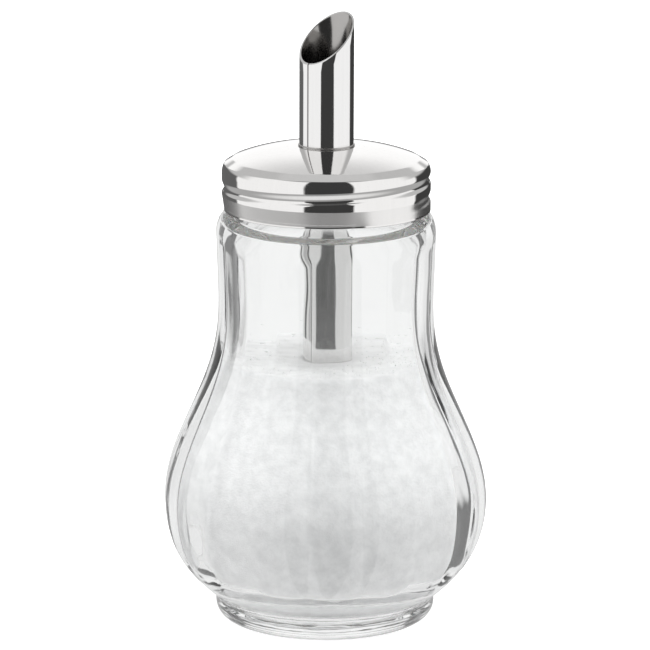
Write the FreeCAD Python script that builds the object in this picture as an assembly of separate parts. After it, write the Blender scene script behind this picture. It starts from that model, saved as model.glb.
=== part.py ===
import FreeCAD, Part
import math
import os

# A glass sugar dispenser: a fluted, pear-shaped jar with a screw-on steel cap, and a steel
# tube through the cap that reaches down into the sugar and ends above in a slanted mouth.
#
# Millimetres. +Z is up, the origin is the centre of the plane that the jar stands on, and
# the tube's mouth opens towards -Y.

Vector = FreeCAD.Vector
UP = Vector(0, 0, 1)
CENTRE = Vector(0, 0, 0)

# The jar's outline from its foot up to its shoulder: (height, radius)
BODY = [(6.0, 27.3), (8, 29.7), (14, 35.3), (21, 38.65), (30, 40.0), (40, 38.4), (52, 33.55),
        (64, 28.75), (72, 27.0), (80, 26.55), (90, 26.85), (96.8, 27.0)]
WALL = 4.5                    # glass thickness, along the radius
FLOOR = 5.2                   # height of the jar's inner floor
FLOOR_FLAT_RADIUS = 16.0      # of the flat middle of that floor
FLOOR_TURN = [(8.8, 25.9), (6.2, 21.9)]       # where the inner wall turns into the floor
INNER_SHOULDER = [(100.5, 21.2), (95.5, 21.9)]
FOOT_RADIUS = 27.1
FOOT_EDGE = 3.7               # rounding of the foot's lower edge
FOOT_GROOVE = 0.45            # how deep the groove between foot and body is
RECESS_DEPTH = 1.2            # hollow under the base
RECESS_RADIUS = 18.0
RECESS_TURN = (0.85, 20.3)    # on the curve from that hollow to the ring the jar stands on
RECESS_RIM = 21.5
SHOULDER_ROUND = 7.5          # radius of the shoulder's arc

# Ribs: the body is 18 rounded ribs side by side, with a narrow groove between each two
RIBS = 18
RIB_TURN_DEG = 6.0            # the middle of one rib, turning from -Y to +X
GROOVE_DEEP = 0.55            # depth of a groove below the ribs' crests
RIB_FOOT = (8.0, 18.0)        # the grooves start at the first height and are full at the second
RIB_TOP = (96.8, 93.0)
RIB_LEVELS = [(11.0, 32.78), (18.0, 37.45), (94.9, 26.97)]    # more of the outline, where they fade

# The jar's neck and the screw thread
NECK_RADIUS = 23.6
MOUTH_RADIUS = 20.7
RIM_HEIGHT = 113.3
RIM_ROUND = 0.5
PITCH = 4.5                   # rise of the cap in one turn; a right-hand thread
BEAD_DEG = (92.0, 543.0)      # where the cap's thread starts and ends, turning from -Y to +X
BEAD_START_HEIGHT = 105.7     # height of the middle of the cap's thread at its start
GROOVE_ROUND = 1.0            # radius of the groove rolled into the cap
GROOVE_DEPTH = 0.65
GLASS_THREAD_DEG = (-87.0, 413.0)
GLASS_THREAD_ROUND = 1.1      # radius of the half-round thread on the neck
THREAD_LEAD = 1.6             # how far the glass thread runs above the cap's thread

# The cap
CAP_RADIUS = 25.5
SHEET = 0.45
CAP_FOOT = 102.4              # the cap's lower edge
HEM_HEIGHT = 0.9              # its edge is folded inwards
HEM_WIDTH = 0.7
HEM_LIP = 0.2                 # the fold's upper face slopes by this much
SKIRT_TOP = 112.7
CAP_EDGE = 114.6              # where the skirt has turned into the domed top
CAP_EDGE_RADIUS = 24.1
CAP_EDGE_ROUND = 2.0          # of the turn from the skirt to the top
CAP_PEAK = 118.2              # height of the top at the tube
CAP_PEAK_RADIUS = 7.2
CAP_DOME = 44.0               # radius of the arc from the peak to the edge
TUBE_HOLE_GAP = 0.05
LINER = (19.9, 23.9, 0.8)     # inner radius, outer radius and thickness of the sealing ring

# The pouring tube
TUBE_RADIUS = 6.65
TUBE_WALL = 0.5
TUBE_TIP = 150.4
TUBE_FOOT = 12.0
MOUTH_SLOPE_DEG = 41.3        # between the mouth's plane and the horizontal
RING_HEIGHT = 0.6             # of the small half-round ring on the tube
RING_GAP = 0.05               # between the ring and the cap

# The sugar
SUGAR_TOP = 67.0
SUGAR_TOP_RADIUS = 23.3       # of its upper face, just inside the glass
SUGAR_GAP = 0.15              # to the glass
TUBE_GAP = 0.35               # between the sugar and either face of the tube


def point(radius, height):
    return Vector(radius, 0, height)


def line(start, end):
    return Part.LineSegment(start, end).toShape()


def arc(start, middle, end):
    return Part.Arc(start, middle, end).toShape()


def quarter(start, end, centre):
    """A quarter circle, the short way round its centre."""
    outwards = (start + end) * 0.5 - centre
    outwards.normalize()
    return arc(start, centre + outwards * (start - centre).Length, end)


def smooth_curve(points):
    curve = Part.BSplineCurve()
    curve.interpolate(points)
    return curve.toShape()


def turned(edges):
    """The solid that a closed outline beside the Z axis sweeps in a full turn."""
    face = Part.Face(Part.Wire(Part.__sortEdges__(edges)))
    return face.revolve(CENTRE, UP, 360)


def tube(outer, inner, low, high):
    ring = Part.makeCylinder(outer, high - low, Vector(0, 0, low))
    bore = Part.makeCylinder(inner, high - low, Vector(0, 0, low))
    return ring.cut(bore)


def helical_rod(path_radius, rod_radius, degrees, height):
    """A round rod along the thread's helix, with round ends. Degrees turn from -Y to +X."""
    start, end = degrees
    turns = (end - start) / 360
    helix = Part.makeHelix(PITCH, PITCH * turns, path_radius)
    rise = PITCH / (2 * math.pi * path_radius)
    section = Part.Wire(Part.makeCircle(rod_radius, Vector(path_radius, 0, 0), Vector(0, 1, rise)))
    rod = Part.Wire(helix).makePipeShell([section], True, True)
    last = math.radians(end - start)
    end_point = Vector(path_radius * math.cos(last), path_radius * math.sin(last), PITCH * turns)
    rod = rod.fuse(Part.makeSphere(rod_radius, Vector(path_radius, 0, 0)))
    rod = rod.fuse(Part.makeSphere(rod_radius, end_point))
    rod.translate(Vector(0, 0, height))
    rod.rotate(CENTRE, UP, start - 90)
    return rod


def inner_wall():
    """Points down the jar's inner wall, from under its shoulder to the turn into its floor."""
    high = [point(radius - WALL, height) for height, radius in reversed(BODY) if 14 <= height <= 90]
    height, radius = FLOOR_TURN[0]
    return high + [point(radius, height)]


def jar_outline():
    """The jar's section without its ribbed outer face: under the foot, then from the
    shoulder over the rim and down the inside."""
    ring_outer = FOOT_RADIUS - FOOT_EDGE
    foot_top = point(FOOT_RADIUS, FOOT_EDGE)
    body_foot = point(BODY[0][1], BODY[0][0])
    groove_height = (FOOT_EDGE + BODY[0][0]) / 2
    shoulder_height, shoulder_radius = BODY[-1]
    shoulder = point(shoulder_radius, shoulder_height)
    shoulder_centre = point(shoulder_radius - SHOULDER_ROUND, shoulder_height)
    neck_turn = math.acos((NECK_RADIUS - shoulder_centre.x) / SHOULDER_ROUND)
    on_shoulder = [
        shoulder_centre + point(math.cos(turn), math.sin(turn)) * SHOULDER_ROUND
        for turn in (neck_turn / 2, neck_turn)
    ]
    rim_low = RIM_HEIGHT - RIM_ROUND
    rim_outer = NECK_RADIUS - RIM_ROUND
    rim_inner = MOUTH_RADIUS + RIM_ROUND
    wall = inner_wall()
    recess_turn, floor_turn, shoulder_low, shoulder_high = [
        point(radius, height) for height, radius in
        (RECESS_TURN, FLOOR_TURN[1], INNER_SHOULDER[1], INNER_SHOULDER[0])
    ]
    mouth_low = point(MOUTH_RADIUS, shoulder_height + SHOULDER_ROUND)
    return [
        line(point(0, RECESS_DEPTH), point(RECESS_RADIUS, RECESS_DEPTH)),
        arc(point(RECESS_RADIUS, RECESS_DEPTH), recess_turn, point(RECESS_RIM, 0)),
        line(point(RECESS_RIM, 0), point(ring_outer, 0)),
        quarter(point(ring_outer, 0), foot_top, point(ring_outer, FOOT_EDGE)),
        arc(foot_top, point(FOOT_RADIUS - FOOT_GROOVE, groove_height), body_foot),
        arc(shoulder, *on_shoulder),
        line(on_shoulder[1], point(NECK_RADIUS, rim_low)),
        quarter(point(NECK_RADIUS, rim_low), point(rim_outer, RIM_HEIGHT), point(rim_outer, rim_low)),
        line(point(rim_outer, RIM_HEIGHT), point(rim_inner, RIM_HEIGHT)),
        quarter(point(rim_inner, RIM_HEIGHT), point(MOUTH_RADIUS, rim_low), point(rim_inner, rim_low)),
        line(point(MOUTH_RADIUS, rim_low), mouth_low),
        smooth_curve([mouth_low, shoulder_high, shoulder_low, wall[0]]),
        smooth_curve(wall),
        smooth_curve([wall[-1], floor_turn, point(FLOOR_FLAT_RADIUS, FLOOR)]),
        line(point(FLOOR_FLAT_RADIUS, FLOOR), point(0, FLOOR)),
    ]


def groove_depth(height):
    for start, full in (RIB_FOOT, RIB_TOP):
        along = (height - full) / (start - full)
        if along > 0:
            along = min(along, 1)
            return GROOVE_DEEP * (1 - along * along)
    return GROOVE_DEEP


def rib():
    """One rib's outer face: arcs from groove to groove, stacked up the body's outline."""
    half = 180 / RIBS
    crest_turn, groove_turn = FreeCAD.Rotation(UP, -90), FreeCAD.Rotation(UP, -90 - half)
    far_groove_turn = FreeCAD.Rotation(UP, -90 + half)
    sections = []
    for height, radius in sorted(BODY + RIB_LEVELS):
        groove = point(radius - groove_depth(height), height)
        sections.append(Part.Wire(arc(groove_turn.multVec(groove),
                                      crest_turn.multVec(point(radius, height)),
                                      far_groove_turn.multVec(groove))))
    return Part.makeLoft(sections, False, False)


def glass_jar():
    """The jar is made in 18 equal sectors, sewn together; the thread is added to its neck."""
    step = 360 / RIBS
    sector = rib().Faces
    for edge in jar_outline():
        edge.rotate(CENTRE, UP, -90 - step / 2)
        sector.append(edge.revolve(CENTRE, UP, step))
    faces = []
    for index in range(RIBS):
        for face in sector:
            copy = face.copy()
            copy.rotate(CENTRE, UP, step * index)
            faces.append(copy)
    skin = Part.makeCompound(faces)
    skin.sewShape()
    jar = Part.makeSolid(Part.Shell(skin.Faces))
    if jar.Volume < 0:
        jar.reverse()
    jar.rotate(CENTRE, UP, RIB_TURN_DEG)
    start_height = thread_height(GLASS_THREAD_DEG[0]) + THREAD_LEAD
    thread = helical_rod(NECK_RADIUS, GLASS_THREAD_ROUND, GLASS_THREAD_DEG, start_height)
    return jar.removeSplitter().fuse(thread)


def thread_height(degrees):
    """Height of the middle of the cap's thread at an angle that turns from -Y to +X."""
    return BEAD_START_HEIGHT + PITCH * (degrees - BEAD_DEG[0]) / 360


def cap_top():
    """Edges of the cap's upper face, from its rounded edge over the dome to the tube's hole."""
    peak = point(CAP_PEAK_RADIUS, CAP_PEAK)
    edge = point(CAP_EDGE_RADIUS, CAP_EDGE)
    chord = edge - peak
    outwards = Vector(-chord.z, 0, chord.x)
    outwards.normalize()
    bulge = CAP_DOME - math.sqrt(CAP_DOME ** 2 - chord.Length ** 2 / 4)
    hole = point(TUBE_RADIUS + TUBE_HOLE_GAP, CAP_PEAK)
    return [arc(edge, (peak + edge) * 0.5 + outwards * bulge, peak), line(peak, hole)]


def cap_edge(skirt_radius, round_radius, top):
    """The turn from the skirt's face to the top."""
    centre = point(CAP_RADIUS - CAP_EDGE_ROUND, SKIRT_TOP)
    diagonal = math.sqrt(0.5) * round_radius
    return arc(point(skirt_radius, SKIRT_TOP), centre + point(diagonal, diagonal), top)


def cap_shell():
    hole = point(TUBE_RADIUS + TUBE_HOLE_GAP, CAP_PEAK)
    inner = CAP_RADIUS - SHEET
    hem_inner = CAP_RADIUS - HEM_WIDTH
    hem_middle = CAP_RADIUS - HEM_WIDTH / 2
    hem_top = CAP_FOOT + HEM_HEIGHT
    hem_side = CAP_FOOT + HEM_WIDTH / 2
    down = Vector(0, 0, -SHEET)
    edge = point(CAP_EDGE_RADIUS, CAP_EDGE)
    lining = cap_top()
    for part in lining:
        part.translate(down)
    return turned([
        arc(point(hem_inner, hem_side), point(hem_middle, CAP_FOOT), point(CAP_RADIUS, hem_side)),
        line(point(CAP_RADIUS, hem_side), point(CAP_RADIUS, SKIRT_TOP)),
        cap_edge(CAP_RADIUS, CAP_EDGE_ROUND, edge),
        *cap_top(),
        line(hole, hole + down),
        *lining,
        cap_edge(inner, CAP_EDGE_ROUND - SHEET, edge + down),
        line(point(inner, SKIRT_TOP), point(inner, hem_top)),
        line(point(inner, hem_top), point(hem_inner, hem_top - HEM_LIP)),
        line(point(hem_inner, hem_top - HEM_LIP), point(hem_inner, hem_side)),
    ])


def screw_cap():
    path = CAP_RADIUS + GROOVE_ROUND - GROOVE_DEPTH
    start = thread_height(BEAD_DEG[0])
    bead = helical_rod(path, GROOVE_ROUND + SHEET, BEAD_DEG, start)
    within = Part.makeCylinder(CAP_RADIUS - SHEET / 2, CAP_PEAK - CAP_FOOT, Vector(0, 0, CAP_FOOT))
    groove = helical_rod(path, GROOVE_ROUND, BEAD_DEG, start)
    return cap_shell().fuse(bead.common(within)).cut(groove)


def cap_liner():
    inner, outer, thickness = LINER
    return tube(outer, inner, RIM_HEIGHT, RIM_HEIGHT + thickness)


def pouring_tube():
    """A straight tube whose top is cut off by a sloping plane, lowest towards -Y."""
    blank = tube(TUBE_RADIUS, TUBE_RADIUS - TUBE_WALL, TUBE_FOOT, TUBE_TIP + 1)
    size = TUBE_TIP
    above = Part.makeBox(size, size, size, Vector(-size / 2, -size / 2, 0))
    above.rotate(CENTRE, Vector(1, 0, 0), MOUTH_SLOPE_DEG)
    above.translate(Vector(0, TUBE_RADIUS, TUBE_TIP))
    return blank.cut(above)


def tube_ring():
    low = CAP_PEAK + RING_GAP
    start, end = point(TUBE_RADIUS, low), point(TUBE_RADIUS, low + RING_HEIGHT)
    middle = point(TUBE_RADIUS + RING_HEIGHT / 2, low + RING_HEIGHT / 2)
    return turned([line(end, start), arc(start, middle, end)])


def sugar_fill():
    """Sugar up to the middle of the jar, round the tube and inside it."""
    gap = point(-SUGAR_GAP, 0)
    wall = [place + gap for place in reversed(inner_wall()) if place.z < SUGAR_TOP - 1]
    edge = point(SUGAR_TOP_RADIUS, SUGAR_TOP)
    floor = point(FLOOR_FLAT_RADIUS, FLOOR)
    turn_height, turn_radius = FLOOR_TURN[1]
    turn = point(turn_radius - SUGAR_GAP, turn_height + SUGAR_GAP)
    heap = turned([
        line(point(0, FLOOR), floor),
        smooth_curve([floor, turn, wall[0]]),
        smooth_curve(wall + [edge]),
        line(edge, point(0, SUGAR_TOP)),
        line(point(0, SUGAR_TOP), point(0, FLOOR)),
    ])
    slot_inner = TUBE_RADIUS - TUBE_WALL - TUBE_GAP
    return heap.cut(tube(TUBE_RADIUS + TUBE_GAP, slot_inner, TUBE_FOOT - TUBE_GAP, SUGAR_TOP + 1))


NODES = {
    "glass_jar": glass_jar,
    "sugar_fill": sugar_fill,
    "screw_cap": screw_cap,
    "cap_liner": cap_liner,
    "pouring_tube": pouring_tube,
    "tube_ring": tube_ring,
}

os.makedirs("parts", exist_ok=True)
for name, make in NODES.items():
    shape = make()
    if not shape.isValid() or len(shape.Solids) != 1:
        print("CHECK", name, "valid", shape.isValid(), "solids", len(shape.Solids))
    box = shape.BoundBox
    print(name, round(shape.Volume), "mm3", [round(v, 2) for v in (box.XMin, box.YMin, box.ZMin,
                                                                   box.XMax, box.YMax, box.ZMax)])
    shape.exportStep(os.path.join("parts", name + ".step"))
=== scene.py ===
import bpy
import math
import numpy as np
from mathutils import Matrix, Vector


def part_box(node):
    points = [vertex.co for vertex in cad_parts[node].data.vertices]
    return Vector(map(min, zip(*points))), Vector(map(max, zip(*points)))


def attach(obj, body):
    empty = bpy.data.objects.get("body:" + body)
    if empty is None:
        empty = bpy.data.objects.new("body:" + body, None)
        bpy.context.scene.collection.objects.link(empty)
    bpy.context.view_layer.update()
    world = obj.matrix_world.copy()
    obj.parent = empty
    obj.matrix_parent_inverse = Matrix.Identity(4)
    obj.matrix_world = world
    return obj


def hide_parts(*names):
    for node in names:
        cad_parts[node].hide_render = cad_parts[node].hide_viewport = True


# The looks of a glass sugar dispenser: a ribbed jar with its sugar, a screw cap and a pouring
# tube. Outlines are in millimetres in the CAD model's frame, and go through MM. Angles round
# the jar, called turns, are in degrees from -Y towards +X.

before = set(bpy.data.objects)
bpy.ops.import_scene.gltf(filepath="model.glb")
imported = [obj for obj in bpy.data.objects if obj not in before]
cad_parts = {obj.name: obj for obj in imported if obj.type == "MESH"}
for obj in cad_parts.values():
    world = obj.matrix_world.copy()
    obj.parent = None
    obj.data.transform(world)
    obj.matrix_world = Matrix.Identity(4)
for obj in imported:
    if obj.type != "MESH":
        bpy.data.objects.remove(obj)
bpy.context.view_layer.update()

MM = 0.001

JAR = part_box("glass_jar")
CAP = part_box("screw_cap")
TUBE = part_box("pouring_tube")
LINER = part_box("cap_liner")
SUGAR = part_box("sugar_fill")

# The camera
CAMERA_TURN = 43.0
CAMERA_PITCH = 13.0
CAMERA_ROLL = 0.2
CAMERA_DISTANCE = 1.0         # metres
CAMERA_LENS = 225.5
CAMERA_SENSOR = 36
CAMERA_AIM = 73.33            # height of the point it looks at
CAMERA_AIM_LEFT = 0.2         # and how far left of the axis that point is

# The jar's outline from foot to shoulder: (height, radius)
BODY = [(6.0, 27.3), (8, 29.7), (14, 35.3), (21, 38.65), (30, 40.0), (40, 38.4), (52, 33.55),
        (64, 28.75), (72, 27.0), (80, 26.55), (90, 26.85), (96.8, 27.0)]
WALL = 4.5
SKIN = 0.02                   # the ribs' crests stay this far inside the CAD model's
SHOULDER_ROUND = 7.5
SHOULDER_FACES = 14
NECK_RADIUS = 23.6
NECK_FOOT = 103.3
RIM_HEIGHT = JAR[1].z / MM
RIM_ROUND = 0.5
MOUTH_RADIUS = 20.7
INNER_SHOULDER = (97.9, 98.8)      # the inner wall steps in to the mouth between these heights

# The jar's floor inside: the turn up into the wall, where the wall takes over, and the dish
FLOOR = 5.2
FLOOR_TURN = [(FLOOR, 16.0), (6.2, 21.9), (8.8, 25.9)]
FLOOR_TURN_TOP = 14
FLOOR_DISH = [(FLOOR + 0.05, 16.5), (FLOOR, 15.0), (FLOOR, 9.0), (FLOOR, 0.0)]

# The jar's underside, its heel and the narrow place above it
UNDERSIDE = [(1.2, 0.0), (1.2, 9.0), (1.15, 15.0), (1.05, 17.8), (0.85, 19.4), (0.45, 20.8),
             (0.08, 21.4), (0.0, 21.8), (0.0, 23.2)]
HEEL_CENTRE = (3.7, 23.4)
HEEL_ROUND = 3.7
HEEL_NECK = [(4.1, 27.08), (4.5, 26.85), (4.9, 26.72), (5.3, 26.78), (5.7, 27.0)]

# Where the jar's rings of faces lie: (from, to, step) of their heights
OUTER_SPANS = [(6, 20, 0.45), (20, 88, 0.9), (88, 96.9, 0.3)]
NECK_STEP = 0.3
INNER_SPANS = [(112, 101, -1), (100.8, 96.6, -0.15), (96, 14, -1), (14, FLOOR + 0.3, -0.4)]

# The glass is a little uneven. It starts at the first height and is full at the second
UNEVEN = (-0.006, 0.02)       # outside, inside
UNEVEN_FOOT = (6.0, 12.0)
UNEVEN_TOP = (112.0, 104.0)

# Ribs and the grooves between them
RIBS = 18
RIB_FACES = 22
RIB_TURN = 6.5                # the middle of one rib
GROOVE_DEEP = 0.32            # at the waist; the wider ribs of the belly stand out more
GROOVE_GAIN = 1.3
WAIST_RADIUS = 26.55
GROOVE_SOFT = 0.05            # rounding at the groove's bottom, as a share of half a rib
RIB_FOOT = (8.0, 18.0)        # the grooves start at the first height and are full at the second
RIB_TOP = (96.8, 93.0)

# The screw thread: a groove rolled into the cap, and a ridge round the jar's neck
PITCH = 4.5
THREAD_FADE = 30.0            # each end of a thread runs out over this turn
CAP_THREAD_TURNS = (92.0, 543.0)
CAP_THREAD_START = 105.7      # height of the cap's thread at its first turn
CAP_THREAD_DEPTH = 0.6
CAP_THREAD_LEAD = -0.55       # the groove's deepest line, against the thread's height
CAP_THREAD_WIDTHS = (1.2, 2.1)     # how far the groove reaches below and above that line
GLASS_THREAD_TURNS = (-87.0, 413.0)
GLASS_THREAD_HIGH = 1.1
GLASS_THREAD_LEAD = 1.6
GLASS_THREAD_WIDTHS = (1.15, 1.15)

# The tube
TUBE_RADIUS = TUBE[1].x / MM
TUBE_WALL = 0.5
TUBE_INNER = TUBE_RADIUS - TUBE_WALL
TUBE_FACES = 240
MOUTH_SLOPE = math.tan(math.radians(41.3))
LIP_ROUND = 0.16              # of the mouth's cut edges
TUBE_FOOT = (0.15, 0.12)      # height and depth of the bevels at its lower end
SEAM_DEPTH = 0.06             # a weld seam runs down the tube under the mouth's lowest point
SEAM_TURN = 1.4
BEAD_ROUND = 0.22             # the bead round the tube where it leaves the cap
BEAD_LIFT = 0.01
BEAD_FACES = 160

# The cap
CAP_FACES = 360
CAP_RADIUS = 25.5
CAP_FOOT = CAP[0].z / MM
CAP_HOLE = TUBE_RADIUS + 0.05
SHEET = 0.45
FOOT_ROUND = 0.12
HEM_WIDTH = 0.7               # the sheet is folded back on itself at the foot
HEM_TOP = 1.0
HEM = [(0.95, SHEET), (0.85, HEM_WIDTH - 0.08), (0.45, HEM_WIDTH), (0.1, HEM_WIDTH)]
SKIRT_DEPTH = 0.6             # the skirt's sheet lies within this of the cap's radius
SKIRT_STEP = 0.1
THREAD_CLEAR = (1.0, 1.8)     # the groove starts this far above the foot, and is full at the second
CAP_PEAK = 118.2
CAP_PEAK_RADIUS = 7.2
CAP_EDGE = 114.6
CAP_EDGE_RADIUS = 24.1
CAP_DOME = 44.0               # radius of the arc from the peak to the edge
EDGE_START = 111.7            # where the skirt starts to lean in
EDGE_ROUNDS = (4.0, 0.6)      # the edge is a wide arc, then a tight one up to the dome
EDGE_ANGLES = (30.0, 58.0)    # where each of them ends, from outwards towards up
EDGE_STEP = 5
BEVEL_RADIUS = 22.8           # the dome turns down more steeply outside this radius
BEVEL_PARTS = (0.2, 0.4, 0.6, 0.8, 0.95)
BAND_TOP = 106.5              # the band below this height leans in towards the foot
BAND_LEAN = 0.55
BAND_FOOT = 102.85            # under it the sheet is folded and stands upright again
BAND_UPRIGHT = (118.0, 45.0, 60.0)   # the band stays upright round this turn, and fades out

# The liner
LINER_FACES = 180
LINER_HOLE = 19.9
LINER_SOFT = 0.25
LINER_TRACK = (0.12, 21.0, 23.4)     # depth, and the radii of the track under the cap's top

# The sugar
SUGAR_FACES = 240
SUGAR_TOP = SUGAR[1].z / MM
SUGAR_LEVEL = SUGAR_TOP - 1.0
SUGAR_FOOT = FLOOR + 0.02
SUGAR_GAP = 0.15              # the sugar keeps clear of glass and steel by this
SUGAR_FLOOR_RADII = (0, 6, 12, 15.5)
SUGAR_WALL_RADIUS = 23.3      # of the wall where the surface meets it
SUGAR_SURFACE_RADIUS = 22.8
SUGAR_REACH = 25.0            # radius at which the heap has its full height
SUGAR_HEAP = 0.8              # it is higher on one side
SUGAR_HEAP_TURN = 223.0
SUGAR_LUMPS = 0.55
SUGAR_LUMPS_RADIUS = 12.0
SUGAR_DIP = 0.3               # it is low round the tube
SUGAR_DIP_WIDTH = 4.0
SLOT_UNDER = 0.35             # the tube's slot goes this far below the tube
CORE_LOWER = 0.6              # the sugar in the tube stands this much lower
CORE_RADII = (4, 2)

# Loose grains
GRAIN_SHAPE = (0.6, 1.0)
LOOSE_GRAINS = 700
LOOSE_SIZES = (0.15, 0.3)
LOOSE_LIFT = (-0.1, 0.15)
LOOSE_CLEAR = 0.6             # they keep this far from the tube
DUST_GRAINS = 500
DUST_SIZES = (0.1, 0.2)
DUST_REACH = (1.2, 3.0)       # how far above the sugar dust clings, and how much that varies
DUST_TOP = 84
DUST_GAP = 0.16

# The studio, with lengths in metres
FLOOR_REACH = 4.0
LAMP_SIZE = 1.6
LAMP_HEIGHT = 1.6
LAMP_POWER = 16

# What is round the object in the studio. Angles are in degrees: right of the camera's front
# (left is negative), aside of it either way, or up. An edge goes from its first angle to its
# second, with the levels at both, which are 0 and 1 where none are given
BACKDROP = 1.0

# Round the steel: soft boxes, black cards behind them, a wall at the back and a ceiling
BOX_MIDDLE = 3.0
BOX_EDGE = (25.8, 28.8, 0.06, 1.3)
LOW_BOX_EDGE = (25.8, 28.8, 0.42, 0.56)
CARD_RIGHT = (113, 118, 1.0, 0.05)
CARD_LEFT = (-113, -118, 1.0, 0.13)
CARD_TOP = (6, 14)
ABOVE_CARDS = (90, 115, 1.0, 0.55)
BACK_LOW = (158, 168)
BACK_HIGH = (146, 156)
BACK_WIDENS = (14, 20)
BACK_FADE = (20, 50, 1.4, 0.9)
BACK_FOOT = (-3, 3, 0.1, 1.0)
CEILING = (56, 62)
CEILING_SIDES = (100, 80)
CEILING_BACK = 0.8
CEILING_FRONT = 0.12
LOW = (-16, -24)
GROUND = (-38, -55)
GROUND_LEVEL = 1.1

# Round the glass: a white room with cards, a gap in front, and the sheen on the surface
GAP_MIDDLE = 7.5
GAP_EDGE = (23, 30, 0.18, 1.0)
GREY_CARD = ((-80, -86, 1.0, 0.6), (-108, -112))
DARK_CARDS = ((127, 130, 1.0, 0.14), (142, 145))
ROOM_BACK = (150, 165, 1.0, 1.16)
ROOM_TOP = (30, 45)
ROOM_TOP_LEVEL = 1.6
ROOM_GROUND = (-30, -45)
ROOM_GROUND_LEVEL = 1.0
SOFT_FRONT = (15, 45, 0.9, 1.45)
SHEEN_SIDES = (100, 130)
SHEEN_BACK = 0.85


# ---------------------------------------------------------------- shapes

def spline(points, at):
    """A natural cubic spline through (x, y) points, at an array of x."""
    x, y = np.array(points, float).T
    step = np.diff(x)
    size = len(x)
    lhs = np.eye(size)
    rhs = np.zeros(size)
    for i in range(1, size - 1):
        lhs[i, i - 1:i + 2] = step[i - 1], 2 * (step[i - 1] + step[i]), step[i]
        rhs[i] = 6 * ((y[i + 1] - y[i]) / step[i] - (y[i] - y[i - 1]) / step[i - 1])
    bend = np.linalg.solve(lhs, rhs)
    at = np.asarray(at, float)
    i = np.clip(np.searchsorted(x, at) - 1, 0, size - 2)
    after, before, gap = at - x[i], x[i + 1] - at, step[i]
    return ((bend[i] * before ** 3 + bend[i + 1] * after ** 3) / (6 * gap)
            + (y[i] / gap - bend[i] * gap / 6) * before
            + (y[i + 1] / gap - bend[i + 1] * gap / 6) * after)


def rise(value, start, full):
    """0 at start and before it, 1 at full and after it, smooth between."""
    x = np.clip((value - start) / (full - start), 0, 1)
    return x * x * (3 - 2 * x)


def turns(count):
    return np.linspace(0, 360, count, endpoint=False)


def apart(turn, middle):
    """How far a turn is from another, from -180 to 180."""
    return (turn - middle + 180) % 360 - 180


def arc_points(centre, radius, start, end, count):
    """(height, radius) points on an arc. Angles in degrees from outwards towards up."""
    angles = np.radians(np.linspace(start, end, count))
    return [(centre[0] + radius * math.sin(a), centre[1] + radius * math.cos(a)) for a in angles]


def span_heights(spans):
    return np.concatenate([np.arange(*span) for span in spans])


def sweep(outline, turn):
    """Arrays of rings by turns, of the heights and the radii of an outline."""
    height, radius = np.array(outline, float).T
    return height[:, None] + np.zeros_like(turn), radius[:, None] + np.zeros_like(turn)


def lathe(name, heights, radii, turn, closed=False):
    """A mesh turned about Z. heights and radii are arrays of rings by turns. A ring of no
    radius becomes one point; closed joins the last ring to the first."""
    no_radius = 1e-9
    angle = np.radians(turn)
    verts = []
    rings = []
    for height, radius in zip(heights, radii):
        first = len(verts)
        if radius.max() < no_radius:
            verts.append((0, 0, height[0] * MM))
            rings.append([first] * len(turn))
        else:
            verts += zip(radius * np.sin(angle) * MM, -radius * np.cos(angle) * MM, height * MM)
            rings.append(list(range(first, first + len(turn))))
    pairs = list(zip(rings, rings[1:]))
    if closed:
        pairs.append((rings[-1], rings[0]))
    faces = []
    for low, high in pairs:
        for i in range(len(turn)):
            j = (i + 1) % len(turn)
            corners = [low[i], low[j], high[j], high[i]]
            faces.append([c for k, c in enumerate(corners) if c != corners[k - 1]])
    return add_mesh(name, verts, faces)


class Rings:
    """Rings of a lathe, gathered one by one. A height or a radius may be one number."""

    def __init__(self, turn):
        self.turn = turn
        self.heights = []
        self.radii = []

    def add(self, height, radius):
        self.heights.append(np.zeros_like(self.turn) + height)
        self.radii.append(np.zeros_like(self.turn) + radius)

    def mesh(self, name, closed=False):
        return lathe(name, self.heights, self.radii, self.turn, closed)


def add_mesh(name, verts, faces, smooth=True):
    mesh = bpy.data.meshes.new(name)
    mesh.from_pydata([tuple(v) for v in verts], [], faces)
    mesh.validate()
    mesh.update()
    mesh.polygons.foreach_set("use_smooth", [smooth] * len(mesh.polygons))
    piece = bpy.data.objects.new(name, mesh)
    bpy.context.scene.collection.objects.link(piece)
    return piece


def wave(turn, height, seed, around, upwards):
    """A smooth unevenness from about -1 to 1 over the surface, made of a few sines."""
    sines = 7
    largest_phase = 6.28
    evening = 1.5
    draw = np.random.default_rng(seed)
    total = 0
    for _ in range(sines):
        n = draw.integers(1, around + 1)
        k = draw.uniform(-1, 1) * upwards
        total = total + np.sin(np.radians(turn) * n + height * k + draw.uniform(0, largest_phase))
    return total / sines ** 0.5 / evening


def thread_height(turn):
    return CAP_THREAD_START + PITCH * (turn - CAP_THREAD_TURNS[0]) / 360


def thread(turn, height, limits, lead, widths):
    """How high a thread stands at each place, from 0 to 1."""
    best = np.zeros(np.broadcast(turn, height).shape)
    start, end = limits
    for lap in range(math.floor(start / 360), math.ceil(end / 360) + 1):
        total = turn + 360 * lap
        ends = rise(total, start, start + THREAD_FADE) * rise(total, end, end - THREAD_FADE)
        across = height - thread_height(total) - lead
        across = across / np.where(across < 0, widths[0], widths[1])
        bump = np.where(abs(across) < 1, np.cos(across * math.pi / 2) ** 2, 0)
        best = np.maximum(best, bump * ends)
    return best


# ---------------------------------------------------------------- the jar

def groove_depth(height):
    wider = spline(BODY, height) / WAIST_RADIUS - 1
    depth = GROOVE_DEEP * (1 + GROOVE_GAIN * wider)
    return depth * rise(height, *RIB_FOOT) * rise(height, *RIB_TOP)


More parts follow.
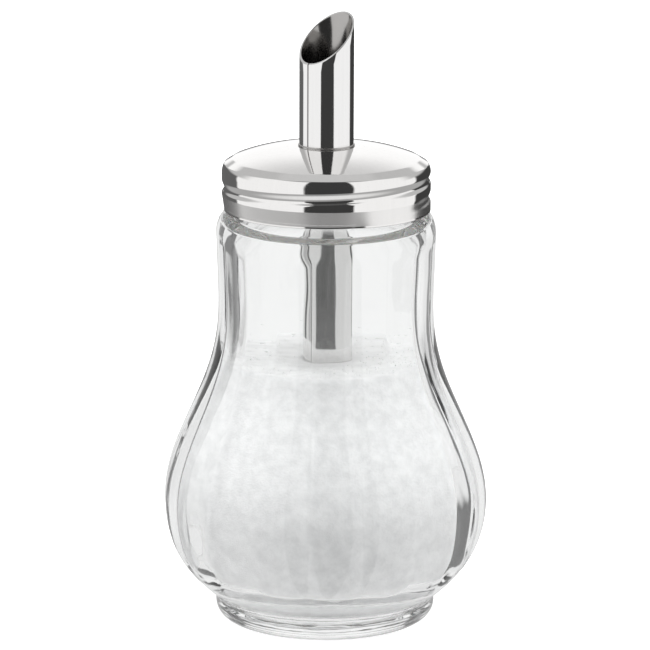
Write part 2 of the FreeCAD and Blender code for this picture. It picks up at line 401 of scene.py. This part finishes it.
def rib_shape(turn):
    """0 on a rib's crest, 1 at the bottom of a groove."""
    to_groove = 1 - abs(((turn - RIB_TURN) * RIBS / 180 + 1) % 2 - 1)
    to_groove = np.sqrt(to_groove ** 2 + GROOVE_SOFT ** 2) - GROOVE_SOFT
    return (1 - to_groove) ** 2


def inner_radius(height):
    """The jar's inner wall, from the turn into its floor up to its shoulder."""
    wall = [(h, r - WALL) for h, r in BODY if h >= FLOOR_TURN_TOP]
    body = spline(FLOOR_TURN + wall, height)
    low, high = INNER_SHOULDER
    return body + (MOUTH_RADIUS - body) * np.clip((height - low) / (high - low), 0, 1)


def jar_outside():
    """The outside of the jar, from the middle of its underside to its rim."""
    outline = UNDERSIDE + arc_points(HEEL_CENTRE, HEEL_ROUND, -82, 0, 9) + HEEL_NECK
    heights = span_heights(OUTER_SPANS)
    outline += list(zip(heights, spline(BODY, heights) - SKIN))
    top_height, top_radius = BODY[-1]
    shoulder = (top_height, top_radius - SHOULDER_ROUND)
    neck_turn = math.degrees(math.acos((NECK_RADIUS - shoulder[1]) / SHOULDER_ROUND))
    outline += arc_points(shoulder, SHOULDER_ROUND, 3, neck_turn - 1, SHOULDER_FACES)
    outline += [(h, NECK_RADIUS) for h in np.arange(NECK_FOOT, RIM_HEIGHT - RIM_ROUND, NECK_STEP)]
    rim = (RIM_HEIGHT - RIM_ROUND, NECK_RADIUS - RIM_ROUND)
    return outline + arc_points(rim, RIM_ROUND, 0, 90, 4)


def jar_inside():
    """The inside of the jar, from its rim to the middle of its floor."""
    rim = (RIM_HEIGHT - RIM_ROUND, MOUTH_RADIUS + RIM_ROUND)
    heights = span_heights(INNER_SPANS)
    wall = list(zip(heights, inner_radius(heights)))
    return arc_points(rim, RIM_ROUND, 90, 180, 4) + wall + FLOOR_DISH


def make_jar():
    turn = turns(RIBS * RIB_FACES)
    outline = jar_outside()
    height, radius = sweep(outline + jar_inside(), turn)
    outside = (np.arange(len(height)) < len(outline))[:, None]
    on_ribs = outside & (height > RIB_FOOT[0]) & (height < RIB_TOP[0])
    radius = radius - np.where(on_ribs, groove_depth(height) * rib_shape(turn), 0)
    on_neck = outside & (height >= NECK_FOOT)
    ridge = thread(turn, height, GLASS_THREAD_TURNS, GLASS_THREAD_LEAD, GLASS_THREAD_WIDTHS)
    radius = radius + np.where(on_neck, GLASS_THREAD_HIGH * ridge, 0)
    uneven = wave(turn, height, seed=3, around=14, upwards=0.25)
    uneven = uneven * rise(height, *UNEVEN_FOOT) * rise(height, *UNEVEN_TOP)
    radius = radius + np.where(outside, *UNEVEN) * uneven
    return lathe("jar_glass", height, radius, turn)


# ---------------------------------------------------------------- the sugar

def sugar_surface(turn, radius):
    """Height of the sugar's surface: heaped to one side, uneven, low round the tube."""
    heap = SUGAR_HEAP * np.cos(np.radians(turn - SUGAR_HEAP_TURN)) * (radius / SUGAR_REACH) ** 2
    lumps = SUGAR_LUMPS * wave(turn, radius, seed=11, around=5, upwards=0.45)
    lumps = lumps * np.minimum(radius / SUGAR_LUMPS_RADIUS, 1)
    dip = SUGAR_DIP * np.exp(-((radius - TUBE_RADIUS) / SUGAR_DIP_WIDTH) ** 2)
    return SUGAR_LEVEL + heap + lumps - dip


def make_sugar():
    """The sugar: over the jar's floor, up its wall, in over the surface, down the tube's slot
    and up again to the sugar inside the tube."""
    turn = turns(SUGAR_FACES)
    rings = Rings(turn)
    for radius in SUGAR_FLOOR_RADII:
        rings.add(SUGAR_FOOT, radius)
    at_wall = sugar_surface(turn, SUGAR_WALL_RADIUS)
    for step in np.linspace(0.02, 1, 60):
        height = SUGAR_FOOT + (at_wall - FLOOR) * step
        rings.add(height, inner_radius(height) - SUGAR_GAP)
    slot_outer = TUBE_RADIUS + SUGAR_GAP
    slot_inner = TUBE_INNER - SUGAR_GAP
    for radius in np.linspace(SUGAR_SURFACE_RADIUS, slot_outer, 24):
        rings.add(sugar_surface(turn, radius), radius)
    slot_foot = TUBE[0].z / MM - SLOT_UNDER
    rings.add(slot_foot, slot_outer)
    rings.add(slot_foot, slot_inner)
    for radius in (slot_inner, *CORE_RADII):
        rings.add(sugar_surface(turn, radius) - CORE_LOWER, radius)
    rings.add(SUGAR_LEVEL - CORE_LOWER, 0)
    return rings.mesh("sugar_heap")


def make_crystals():
    """Loose grains on the sugar's surface and stuck to the glass above it."""
    draw = np.random.default_rng(5)
    verts, faces = [], []
    cube = np.array([(x, y, z) for x in (-1, 1) for y in (-1, 1) for z in (-1, 1)], float)
    sides = [(0, 1, 3, 2), (4, 6, 7, 5), (0, 4, 5, 1), (2, 3, 7, 6), (0, 2, 6, 4), (1, 5, 7, 3)]

    def grain(turn, radius, height, size):
        matrix, _ = np.linalg.qr(draw.normal(size=(3, 3)))
        shape = cube * draw.uniform(*GRAIN_SHAPE, 3) * size / 2
        angle = math.radians(turn)
        centre = np.array([radius * math.sin(angle), -radius * math.cos(angle), height])
        first = len(verts)
        verts.extend((shape @ matrix.T + centre) * MM)
        faces.extend([tuple(first + k for k in side) for side in sides])

    nearest = TUBE_RADIUS + LOOSE_CLEAR
    for _ in range(LOOSE_GRAINS):
        turn = draw.uniform(0, 360)
        radius = math.sqrt(draw.uniform(nearest ** 2, SUGAR_SURFACE_RADIUS ** 2))
        height = float(sugar_surface(turn, radius)) + draw.uniform(*LOOSE_LIFT)
        grain(turn, radius, height, draw.uniform(*LOOSE_SIZES))
    least, more = DUST_REACH
    for _ in range(DUST_GRAINS):
        turn = draw.uniform(0, 360)
        drift = 0.5 + 0.5 * float(wave(turn, 0, seed=21, around=9, upwards=0.1))
        height = SUGAR_TOP + draw.exponential(least + more * drift) - least
        if height < DUST_TOP:
            grain(turn, float(inner_radius(height)) - DUST_GAP, height, draw.uniform(*DUST_SIZES))
    return add_mesh("sugar_crystals", verts, faces, smooth=False)


# ---------------------------------------------------------------- the cap

def dome_centre():
    """(height, radius) of the centre of the dome's arc."""
    drop = CAP_PEAK - CAP_EDGE
    across = CAP_EDGE_RADIUS - CAP_PEAK_RADIUS
    chord = math.hypot(drop, across)
    reach = math.sqrt(CAP_DOME ** 2 - chord ** 2 / 4) / chord
    return ((CAP_PEAK + CAP_EDGE) / 2 - across * reach,
            (CAP_PEAK_RADIUS + CAP_EDGE_RADIUS) / 2 - drop * reach)


def cap_top(radius):
    """Height of the dome, which is level round the tube."""
    height, middle = dome_centre()
    return height + np.sqrt(CAP_DOME ** 2 - (np.maximum(radius, CAP_PEAK_RADIUS) - middle) ** 2)


def edge_centres():
    """The centres of the wide and the tight arc of the cap's edge."""
    wide, tight = EDGE_ROUNDS
    wide_centre = (EDGE_START, CAP_RADIUS - wide)
    return wide_centre, arc_points(wide_centre, wide - tight, EDGE_ANGLES[0], EDGE_ANGLES[0], 1)[0]


def skirt_heights():
    return np.arange(CAP_FOOT + 0.2, EDGE_START, SKIRT_STEP)


def cap_outside():
    """The outside of the sheet, from the foot up to the tube's hole."""
    wide, tight = EDGE_ROUNDS
    turned, steep = EDGE_ANGLES
    wide_centre, tight_centre = edge_centres()
    foot = (CAP_FOOT + FOOT_ROUND, CAP_RADIUS - FOOT_ROUND)
    outline = arc_points(foot, FOOT_ROUND, -90, 0, 5)
    outline += [(h, CAP_RADIUS) for h in skirt_heights()]
    outline += arc_points(wide_centre, wide, 0, turned, 14)
    outline += arc_points(tight_centre, tight, turned + EDGE_STEP, steep, 8)
    edge_height, edge_radius = outline[-1]
    for part in BEVEL_PARTS:
        outline.append((edge_height + (cap_top(BEVEL_RADIUS) - edge_height) * part,
                        edge_radius + (BEVEL_RADIUS - edge_radius) * part))
    return outline + [(cap_top(r), r) for r in np.linspace(BEVEL_RADIUS - 0.05, CAP_HOLE, 40)]


def cap_inside():
    """The inside of the sheet, from the tube's hole down to the folded hem."""
    wide, tight = EDGE_ROUNDS
    turned, steep = EDGE_ANGLES
    wide_centre, tight_centre = edge_centres()
    under_dome = np.linspace(CAP_HOLE + 0.3, BEVEL_RADIUS - 0.3, 12)
    outline = [(cap_top(r) - SHEET, r) for r in (CAP_HOLE, *under_dome)]
    outline += arc_points(tight_centre, tight - SHEET, steep, turned, 3)
    outline += arc_points(wide_centre, wide - SHEET, turned - EDGE_STEP, 0, 6)
    down = [h for h in skirt_heights()[::-1] if h > CAP_FOOT + HEM_TOP]
    outline += [(h, CAP_RADIUS - SHEET) for h in down]
    return outline + [(CAP_FOOT + up, CAP_RADIUS - inwards) for up, inwards in HEM]


def make_cap():
    turn = turns(CAP_FACES)
    outline = cap_outside()
    height, radius = sweep(outline + cap_inside(), turn)
    on_skirt = rise(height - CAP_FOOT, *THREAD_CLEAR) * (radius > CAP_RADIUS - SKIRT_DEPTH)
    groove = thread(turn, height, CAP_THREAD_TURNS, CAP_THREAD_LEAD, CAP_THREAD_WIDTHS)
    radius = radius - CAP_THREAD_DEPTH * groove * on_skirt
    upright, near, far = BAND_UPRIGHT
    lean = BAND_LEAN * rise(abs(apart(turn, upright)), near, far)
    down = np.clip((BAND_TOP - height) / (BAND_TOP - BAND_FOOT), 0, 1)
    outside = (np.arange(len(height)) < len(outline))[:, None]
    radius = radius - np.where(outside, lean * down, 0)
    return lathe("cap_shell", height, radius, turn, closed=True)


def make_liner():
    low, high, outer = LINER[0].z / MM, LINER[1].z / MM, LINER[1].x / MM
    depth, track_inner, track_outer = LINER_TRACK
    soft = LINER_SOFT
    section = arc_points((low + soft, outer - soft), soft, -90, 0, 5)
    section += arc_points((high - soft, outer - soft), soft, 0, 90, 5)
    section += [(high - depth, track_outer), (high - depth, track_inner)]
    section += arc_points((high - soft, LINER_HOLE + soft), soft, 90, 180, 5)
    section += arc_points((low + soft, LINER_HOLE + soft), soft, 180, 270, 5)
    turn = turns(LINER_FACES)
    return lathe("sealing_ring", *sweep(section, turn), turn, closed=True)


# ---------------------------------------------------------------- the tube

def make_tube():
    """The tube: up its outside, over the slanted mouth's lip, and down its bore."""
    turn = turns(TUBE_FACES)
    rings = Rings(turn)
    low, tip = TUBE[0].z / MM, TUBE[1].z / MM
    bevel_height, bevel_depth = TUBE_FOOT
    foot = low + bevel_height

    def mouth(radius):
        back = -radius * np.cos(np.radians(turn))
        return tip - LIP_ROUND - (TUBE_RADIUS - back) * MOUTH_SLOPE

    seam = SEAM_DEPTH * np.exp(-(apart(turn, 0) / SEAM_TURN) ** 2)
    for step in np.linspace(0, 1, 60):
        rings.add(foot + (mouth(TUBE_RADIUS) - foot) * step, TUBE_RADIUS - seam)
    for wall, inwards, angles in ((TUBE_RADIUS, -1, (30, 60, 90)), (TUBE_INNER, 1, (90, 60, 30))):
        for angle in np.radians(angles):
            radius = wall + inwards * LIP_ROUND * (1 - math.cos(angle))
            rings.add(mouth(radius) + LIP_ROUND * math.sin(angle), radius)
    for step in np.linspace(1, 0, 40):
        rings.add(foot + (mouth(TUBE_INNER) - foot) * step, TUBE_INNER)
    rings.add(low, TUBE_INNER + bevel_depth)
    rings.add(low, TUBE_RADIUS - bevel_depth)
    return rings.mesh("spout_tube", closed=True)


def make_bead():
    centre = (CAP_PEAK + BEAD_LIFT + BEAD_ROUND, TUBE_RADIUS)
    turn = turns(BEAD_FACES)
    section = arc_points(centre, BEAD_ROUND, -85, 90, 12)
    return lathe("tube_collar", *sweep(section, turn), turn, closed=True)


# ---------------------------------------------------------------- materials

class Nodes:
    """A short way to build a node tree."""

    def __init__(self, tree):
        self.tree = tree

    def add(self, kind, values=None, **settings):
        node = self.tree.nodes.new(kind)
        for name, value in settings.items():
            setattr(node, name, value)
        self.feed(node, values or {})
        return node

    def feed(self, node, values):
        """Links a socket to each named input, or sets it to a value."""
        for name, value in values.items():
            if isinstance(value, bpy.types.NodeSocket):
                self.tree.links.new(value, node.inputs[name])
            else:
                node.inputs[name].default_value = value

    def math(self, operation, first, second=0.5):
        return self.add("ShaderNodeMath", {0: first, 1: second}, operation=operation).outputs[0]

    def ramp(self, value, low, high, to_low=0.0, to_high=1.0):
        node = self.add("ShaderNodeMapRange", {"Value": value, "From Min": low, "From Max": high,
                                               "To Min": to_low, "To Max": to_high},
                        interpolation_type="SMOOTHSTEP")
        return node.outputs["Result"]

    def level(self, factor, first, second):
        """A number between two others."""
        values = {"Factor": factor, "A": first, "B": second}
        return self.add("ShaderNodeMix", values, data_type="FLOAT").outputs[0]

    def colour(self, factor, first, second):
        """A colour between two others."""
        values = {"Factor": factor, "A": first, "B": second}
        return self.add("ShaderNodeMix", values, data_type="RGBA").outputs["Result"]

    def place(self):
        return self.add("ShaderNodeTexCoord").outputs["Object"]

    def stretched(self, scale):
        return self.add("ShaderNodeMapping", {"Vector": self.place(), "Scale": scale}).outputs[0]

    def noise(self, vector, scale, detail, roughness=0.5):
        node = self.add("ShaderNodeTexNoise", {"Vector": vector, "Scale": scale, "Detail": detail,
                                               "Roughness": roughness})
        return node.outputs["Fac"]

    def bump(self, height, strength, distance):
        values = {"Height": height, "Strength": strength, "Distance": distance}
        return self.add("ShaderNodeBump", values).outputs[0]


def new_material(name, **sockets):
    material = bpy.data.materials.new(name)
    material.use_nodes = True
    shader = material.node_tree.nodes["Principled BSDF"]
    for socket, value in sockets.items():
        shader.inputs[socket.replace("_", " ")].default_value = value
    return Nodes(material.node_tree), shader, material


def glass_material():
    """Clear glass with slow ripples, which lets light through to the sugar and the floor."""
    nodes, shader, material = new_material("clear_glass", Base_Color=(0.99, 0.995, 0.993, 1),
                                           Transmission_Weight=1.0, IOR=1.51, Roughness=0.0)
    slow = nodes.noise(nodes.stretched((1, 1, 0.35)), scale=90, detail=2)
    nodes.feed(shader, {"Normal": nodes.bump(slow, strength=0.25, distance=0.6 * MM)})
    path = nodes.add("ShaderNodeLightPath")
    clear = nodes.add("ShaderNodeBsdfTransparent", {"Color": (0.93, 0.94, 0.94, 1)})
    mixed = nodes.add("ShaderNodeMixShader", {0: path.outputs["Is Shadow Ray"],
                                              1: shader.outputs[0], 2: clear.outputs[0]})
    nodes.feed(nodes.tree.nodes["Material Output"], {"Surface": mixed.outputs[0]})
    return material


def sugar_material(name, grain):
    """White crystals of a given size, in clumps of slightly different tones."""
    nodes, shader, material = new_material(name, Roughness=0.55, IOR=1.54, Subsurface_Weight=0.25,
                                           Subsurface_Radius=(0.9, 0.9, 0.9),
                                           Subsurface_Scale=1.5 * MM)
    place = nodes.place()
    cells = nodes.add("ShaderNodeTexVoronoi", {"Vector": place, "Scale": 1 / grain})
    clumps = nodes.noise(place, scale=330, detail=5, roughness=0.7)
    tone = nodes.colour(nodes.ramp(clumps, 0.3, 0.7), (0.80, 0.80, 0.805, 1), (0.95, 0.95, 0.955, 1))
    glitter = nodes.math("MULTIPLY", cells.outputs["Color"], 0.25)
    height = nodes.math("ADD", cells.outputs["Distance"], clumps)
    nodes.feed(shader, {"Base Color": nodes.colour(glitter, tone, (1, 1, 1, 1)),
                        "Normal": nodes.bump(height, strength=0.3, distance=0.2 * MM)})
    return material


def satin_band(nodes, low, high):
    """1 between two heights on the cap, 0 elsewhere."""
    edge = 0.1 * MM
    height = nodes.add("ShaderNodeSeparateXYZ", {0: nodes.place()}).outputs["Z"]
    return nodes.math("MULTIPLY", nodes.ramp(height, high + edge, high - edge),
                      nodes.ramp(height, low, low + edge))


def inside_bore(nodes, radius):
    """1 on the wall of a tube's bore, 0 on its outside."""
    flat = nodes.add("ShaderNodeVectorMath", {0: nodes.place(), 1: (1, 1, 0)}, operation="MULTIPLY")
    out = nodes.add("ShaderNodeVectorMath", {0: flat.outputs[0]}, operation="LENGTH")
    return nodes.ramp(out.outputs["Value"], radius + 0.15 * MM, radius + 0.05 * MM)


def seam_line(nodes):
    """1 on a thin line down the side that faces -Y."""
    parts = nodes.add("ShaderNodeSeparateXYZ", {0: nodes.place()}).outputs
    off_seam = nodes.math("ABSOLUTE", parts["X"])
    return nodes.math("MULTIPLY", nodes.ramp(off_seam, 0.3 * MM, 0.1 * MM),
                      nodes.ramp(parts["Y"], 0, -3 * MM))


def steel_material(name, colour, roughness, lines, satin=None, bore=None):
    """Polished steel with a fine pattern, which a small last value in lines draws out along Z.
    It is satin between two heights. A tube, given by its bore's radius, is satin inside,
    darkened there by painted shade, and has a thin dark seam."""
    nodes, shader, material = new_material(name, Metallic=1.0)
    smudge = nodes.noise(nodes.place(), scale=70, detail=3)
    fine = nodes.noise(nodes.stretched(lines), scale=900, detail=4, roughness=0.6)
    rough = nodes.ramp(smudge, 0.3, 0.75, roughness * 0.7, roughness * 1.4)
    worn = tuple(c * 0.93 for c in colour)
    tone = nodes.colour(fine, (*worn, 1), (*colour, 1))
    if satin:
        rougher = nodes.math("MULTIPLY", satin_band(nodes, *satin), 0.2)
        rough = nodes.math("ADD", rough, rougher)
    if bore:
        inside = inside_bore(nodes, bore)
        rough = nodes.math("ADD", rough, nodes.math("MULTIPLY", inside, 0.12))
        # painted shade: the bore's wall is darkened as though shadowed inside the tube
        tone = nodes.colour(inside, tone, (0.42, 0.41, 0.40, 1))
        tone = nodes.colour(seam_line(nodes), tone, (0.16, 0.15, 0.15, 1))
    nodes.feed(shader, {"Base Color": tone, "Roughness": rough,
                        "Normal": nodes.bump(fine, strength=0.05, distance=0.1 * MM)})
    return material


def plastic_material():
    """The liner's off-white, slightly mottled plastic."""
    nodes, shader, material = new_material("liner_plastic", Roughness=0.5, Subsurface_Weight=0.15,
                                           Subsurface_Scale=1.0 * MM)
    mottle = nodes.noise(nodes.place(), scale=300, detail=3)
    tone = nodes.colour(mottle, (0.80, 0.80, 0.78, 1), (0.88, 0.88, 0.86, 1))
    nodes.feed(shader, {"Base Color": tone,
                        "Normal": nodes.bump(mottle, strength=0.15, distance=0.2 * MM)})
    return material


def floor_material():
    """A pale floor that glows a little, so that it is as light as the backdrop."""
    nodes, shader, material = new_material("pale_floor", Roughness=0.8, Emission_Strength=0.45,
                                           Emission_Color=(1, 1, 1, 1))
    mottle = nodes.noise(nodes.place(), scale=6, detail=2)
    tone = nodes.colour(mottle, (0.90, 0.90, 0.90, 1), (0.92, 0.92, 0.92, 1))
    nodes.feed(shader, {"Base Color": tone})
    return material


# ---------------------------------------------------------------- studio

def studio_angles(nodes):
    """How far right of the camera's front, aside of it and up each direction of the studio is."""
    degrees = 180 / math.pi
    direction = nodes.add("ShaderNodeTexCoord").outputs["Generated"]
    turned = nodes.add("ShaderNodeVectorRotate",
                       {"Vector": direction, "Angle": -math.radians(CAMERA_TURN)},
                       rotation_type="Z_AXIS").outputs[0]
    parts = nodes.add("ShaderNodeSeparateXYZ", {0: turned}).outputs
    forward = nodes.math("MULTIPLY", parts["Y"], -1.0)
    right = nodes.math("MULTIPLY", nodes.math("ARCTAN2", parts["X"], forward), degrees)
    height = nodes.math("MULTIPLY", nodes.math("ARCSINE", parts["Z"]), degrees)
    return right, nodes.math("ABSOLUTE", right), height


def off_middle(nodes, right, middle):
    return nodes.math("ABSOLUTE", nodes.math("SUBTRACT", right, middle))


def between_edges(nodes, angle, edges):
    """A card that begins at its first edge and ends at its second."""
    start, end = edges
    return nodes.math("MAXIMUM", nodes.ramp(angle, *start), nodes.ramp(angle, *end))


def around_steel(nodes, boxes, right, side, height):
    """Soft boxes, black cards behind them, a pale wall at the back and a grey ceiling."""
    cards = nodes.math("MULTIPLY", nodes.ramp(right, *CARD_RIGHT), nodes.ramp(right, *CARD_LEFT))
    cards = nodes.level(nodes.ramp(height, *CARD_TOP), cards, nodes.ramp(side, *ABOVE_CARDS))
    back = nodes.level(nodes.ramp(height, *BACK_WIDENS), nodes.ramp(side, *BACK_LOW),
                       nodes.ramp(side, *BACK_HIGH))
    back = nodes.math("MULTIPLY", back, nodes.ramp(height, *BACK_FADE))
    back = nodes.math("MULTIPLY", back, nodes.ramp(height, *BACK_FOOT))
    level = nodes.math("MAXIMUM", nodes.math("MULTIPLY", boxes, cards), back)
    ceiling = nodes.level(nodes.ramp(side, *CEILING_SIDES), CEILING_BACK, CEILING_FRONT)
    level = nodes.level(nodes.ramp(height, *CEILING), level, ceiling)
    low_boxes = nodes.ramp(off_middle(nodes, right, BOX_MIDDLE), *LOW_BOX_EDGE)
    level = nodes.level(nodes.ramp(height, *LOW), level, low_boxes)
    return nodes.level(nodes.ramp(height, *GROUND), level, GROUND_LEVEL)


def around_glass(nodes, path, right, side, height):
    """A white room with a few grey cards. Steel and sugar behind the glass also meet a dark
    gap in front, which isn't there for what is seen straight through the glass."""
    bounced = nodes.math("ADD", path["Glossy Depth"], path["Diffuse Depth"])
    gap = nodes.ramp(off_middle(nodes, right, GAP_MIDDLE), *GAP_EDGE)
    gap = nodes.level(nodes.math("MINIMUM", bounced, 1.0), 1.0, gap)
    cards = nodes.math("MULTIPLY", between_edges(nodes, right, GREY_CARD),
                       between_edges(nodes, side, DARK_CARDS))
    level = nodes.math("MULTIPLY", gap, cards)
    level = nodes.math("MULTIPLY", level, nodes.ramp(side, *ROOM_BACK))
    level = nodes.level(nodes.ramp(height, *ROOM_TOP), level, ROOM_TOP_LEVEL)
    return nodes.level(nodes.ramp(height, *ROOM_GROUND), level, ROOM_GROUND_LEVEL)


def make_world():
    """A white studio. What mirrors or bends the light decides what it meets there: steel,
    the sheen on glass, the inside of glass and dull surfaces each have surroundings of
    their own, and the camera has a plain backdrop."""
    world = bpy.data.worlds.new("studio")
    bpy.context.scene.world = world
    world.use_nodes = True
    world.node_tree.nodes.clear()
    nodes = Nodes(world.node_tree)
    right, side, height = studio_angles(nodes)
    path = nodes.add("ShaderNodeLightPath").outputs
    boxes = nodes.ramp(off_middle(nodes, right, BOX_MIDDLE), *BOX_EDGE)
    steel = around_steel(nodes, boxes, right, side, height)
    glass = around_glass(nodes, path, right, side, height)
    soft = nodes.ramp(side, *SOFT_FRONT)
    sheen = nodes.level(nodes.ramp(side, *SHEEN_SIDES), boxes, SHEEN_BACK)
    mirrored = nodes.level(path["Is Singular Ray"], steel, sheen)
    level = nodes.level(path["Is Glossy Ray"], soft, mirrored)
    level = nodes.level(path["Is Transmission Ray"], level, glass)
    level = nodes.level(path["Is Camera Ray"], level, BACKDROP)
    studio = nodes.add("ShaderNodeBackground", {"Strength": level})
    nodes.add("ShaderNodeOutputWorld", {"Surface": studio.outputs[0]})


def hide_from_mirrors(thing):
    thing.visible_glossy = False
    thing.visible_transmission = False


def make_floor():
    reach = FLOOR_REACH
    corners = [(-reach, -reach, 0), (reach, -reach, 0), (reach, reach, 0), (-reach, reach, 0)]
    floor = add_mesh("floor", corners, [(0, 1, 2, 3)])
    floor.data.materials.append(floor_material())
    hide_from_mirrors(floor)


def make_lamp():
    lamp = bpy.data.lights.new("overhead", "AREA")
    lamp.shape = "DISK"
    lamp.size = LAMP_SIZE
    lamp.energy = LAMP_POWER
    holder = bpy.data.objects.new("overhead", lamp)
    holder.location = (0, 0, LAMP_HEIGHT)
    hide_from_mirrors(holder)
    bpy.context.scene.collection.objects.link(holder)


def make_camera():
    camera = bpy.data.cameras.new("camera")
    camera.lens = CAMERA_LENS
    camera.sensor_width = CAMERA_SENSOR
    holder = bpy.data.objects.new("camera", camera)
    turn, pitch = math.radians(CAMERA_TURN), math.radians(CAMERA_PITCH)
    right = Vector((math.cos(turn), math.sin(turn), 0))
    target = Vector((0, 0, CAMERA_AIM * MM)) - right * CAMERA_AIM_LEFT * MM
    level = math.cos(pitch)
    back = Vector((math.sin(turn) * level, -math.cos(turn) * level, math.sin(pitch)))
    holder.location = target + back * CAMERA_DISTANCE
    looking = Matrix.Rotation(turn, 3, "Z") @ Matrix.Rotation(math.pi / 2 - pitch, 3, "X")
    looking = looking @ Matrix.Rotation(math.radians(CAMERA_ROLL), 3, "Z")
    holder.rotation_euler = looking.to_euler()
    bpy.context.scene.collection.objects.link(holder)
    bpy.context.scene.camera = holder


# ---------------------------------------------------------------- assembly

def assemble(piece, body, slot, material, *nodes):
    """Gives a piece its material and body, and hides the CAD nodes that it stands for. The slot is
    not used.
    """
    piece.data.materials.append(material)
    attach(piece, body)
    if nodes:
        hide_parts(*nodes)


make_camera()
make_world()
make_floor()
make_lamp()

assemble(make_jar(), "jar", "clear_glass", glass_material(), "glass_jar")
assemble(make_sugar(), "jar", "sugar", sugar_material("sugar", 0.45 * MM), "sugar_fill")
assemble(make_crystals(), "jar", "sugar", sugar_material("sugar_grain", 0.3 * MM))
cap_steel = steel_material("cap_steel", (0.86, 0.85, 0.84), 0.05, lines=(1, 1, 0.05),
                           satin=(BAND_FOOT * MM, BAND_TOP * MM))
assemble(make_cap(), "cap", "cap_steel", cap_steel, "screw_cap")
tube_steel = steel_material("tube_steel", (0.86, 0.855, 0.85), 0.06, lines=(1, 1, 0.03),
                            bore=TUBE_INNER * MM)
assemble(make_tube(), "cap", "tube_steel", tube_steel, "pouring_tube")
# the bead is the tube's steel, rougher and darkened; its darker colour is painted shade round the
# tube where it leaves the cap
bead_steel_painted_shade = steel_material("bead_steel_painted_shade", (0.50, 0.49, 0.48), 0.3, lines=(1, 1, 1))
assemble(make_bead(), "cap", "tube_steel", bead_steel_painted_shade, "tube_ring")
assemble(make_liner(), "liner", "liner_plastic", plastic_material(), "cap_liner")

scene = bpy.context.scene
scene.view_settings.view_transform = "Standard"
scene.cycles.use_denoising = True
scene.cycles.blur_glossy = 0.0
scene.cycles.max_bounces = 24
scene.cycles.transmission_bounces = 24
scene.cycles.glossy_bounces = 16
